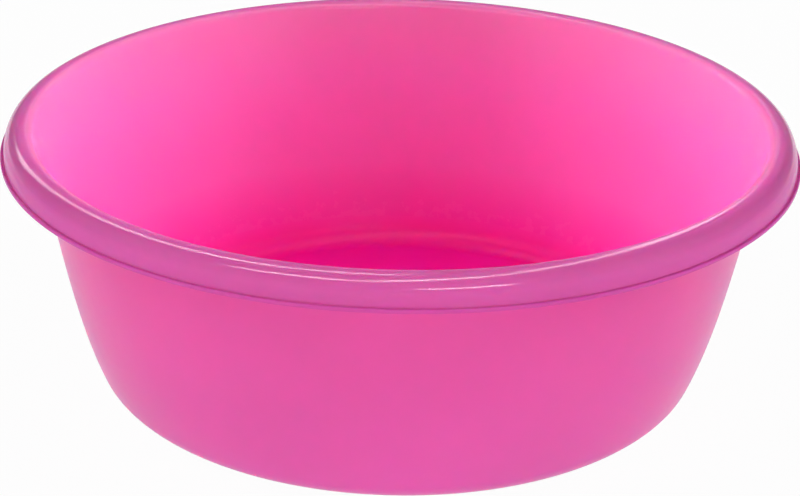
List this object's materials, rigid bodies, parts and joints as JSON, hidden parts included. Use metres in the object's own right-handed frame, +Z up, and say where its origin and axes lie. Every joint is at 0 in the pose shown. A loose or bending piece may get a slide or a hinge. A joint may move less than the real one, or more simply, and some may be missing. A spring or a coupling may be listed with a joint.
{
  "type": "hand basin",
  "caption": "Round hand basin moulded in thin glossy translucent pink plastic, with a sloping wall, a rounded turned-over rim and a narrow foot ring.",
  "frame": {"origin": "middle of the foot ring, on the surface that the basin stands on", "axes": "+Z up along the axis that the basin is turned about; +X and +Y are any two level directions, as the basin is round"},
  "size_m": [0.32, 0.32, 0.1122],
  "materials": {
    "pink_plastic": "glossy, slightly translucent"
  },
  "bodies": {
    "root": {"basin": "pink_plastic"}
  },
  "joints": []
}
